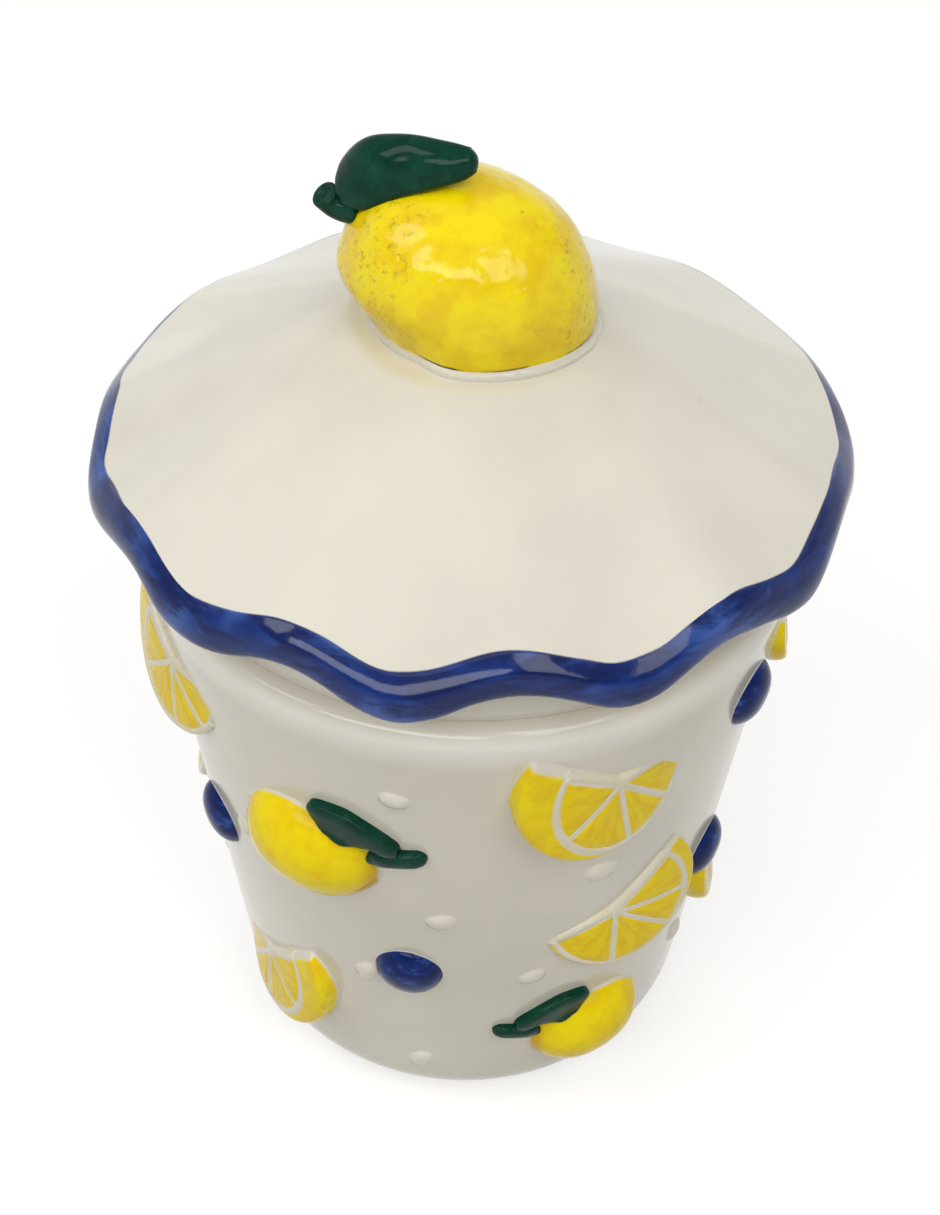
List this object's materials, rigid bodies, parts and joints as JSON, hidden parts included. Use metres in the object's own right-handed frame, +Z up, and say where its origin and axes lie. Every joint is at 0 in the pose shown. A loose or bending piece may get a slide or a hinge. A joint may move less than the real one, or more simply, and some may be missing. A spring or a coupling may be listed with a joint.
{
  "type": "jam pot",
  "caption": "Covered jam pot of glazed ceramic, tapered, with lemons, lemon slices and berries in relief, and a ruffled blue-rimmed lid with a lemon for a knob",
  "frame": {"origin": "centre of the face that the foot ring rests on", "axes": "+Z up; -Y is the front, the side that the picture shows; +X to the right"},
  "size_m": [0.1041, 0.1047, 0.1528],
  "materials": {
    "cream_glaze": "gloss",
    "cobalt_glaze": "gloss",
    "lemon_glaze": "gloss",
    "green_glaze": "gloss",
    "pith_glaze": "gloss"
  },
  "bodies": {
    "pot": {"pot_body": "cream_glaze", "lemon_1": "lemon_glaze", "lemon_1_leaf": "green_glaze", "lemon_2": "lemon_glaze", "lemon_2_leaf": "green_glaze", "lemon_3": "lemon_glaze", "lemon_3_leaf": "green_glaze", "lemon_4": "lemon_glaze", "lemon_4_leaf": "green_glaze", "lemon_5": "lemon_glaze", "lemon_5_leaf": "green_glaze", "slice_1": "lemon_glaze", "slice_1_pith": "pith_glaze", "slice_2": "lemon_glaze", "slice_2_pith": "pith_glaze", "slice_3": "lemon_glaze", "slice_3_pith": "pith_glaze", "slice_4": "lemon_glaze", "slice_4_pith": "pith_glaze", "slice_5": "lemon_glaze", "slice_5_pith": "pith_glaze", "slice_6": "lemon_glaze", "slice_6_pith": "pith_glaze", "slice_7": "lemon_glaze", "slice_7_pith": "pith_glaze", "slice_8": "lemon_glaze", "slice_8_pith": "pith_glaze", "slice_9": "lemon_glaze", "slice_9_pith": "pith_glaze", "berry_1": "cobalt_glaze", "berry_2": "cobalt_glaze", "berry_3": "cobalt_glaze", "berry_4": "cobalt_glaze", "berry_5": "cobalt_glaze", "berry_6": "cobalt_glaze", "berry_7": "cobalt_glaze", "berry_8": "cobalt_glaze", "glaze_droplets": "cream_glaze"},
    "lid": {"lid_dome": "cream_glaze", "lid_rim_roll": "cobalt_glaze", "knob_bead": "cream_glaze", "knob_lemon": "lemon_glaze", "knob_leaf": "green_glaze", "knob_stalk": "green_glaze"}
  },
  "joints": [
    {"name": "lid_lift", "type": "slide", "parent": "pot", "child": "lid", "axis": [0, 0, 1], "range_m": [0, 0.06]}
  ]
}
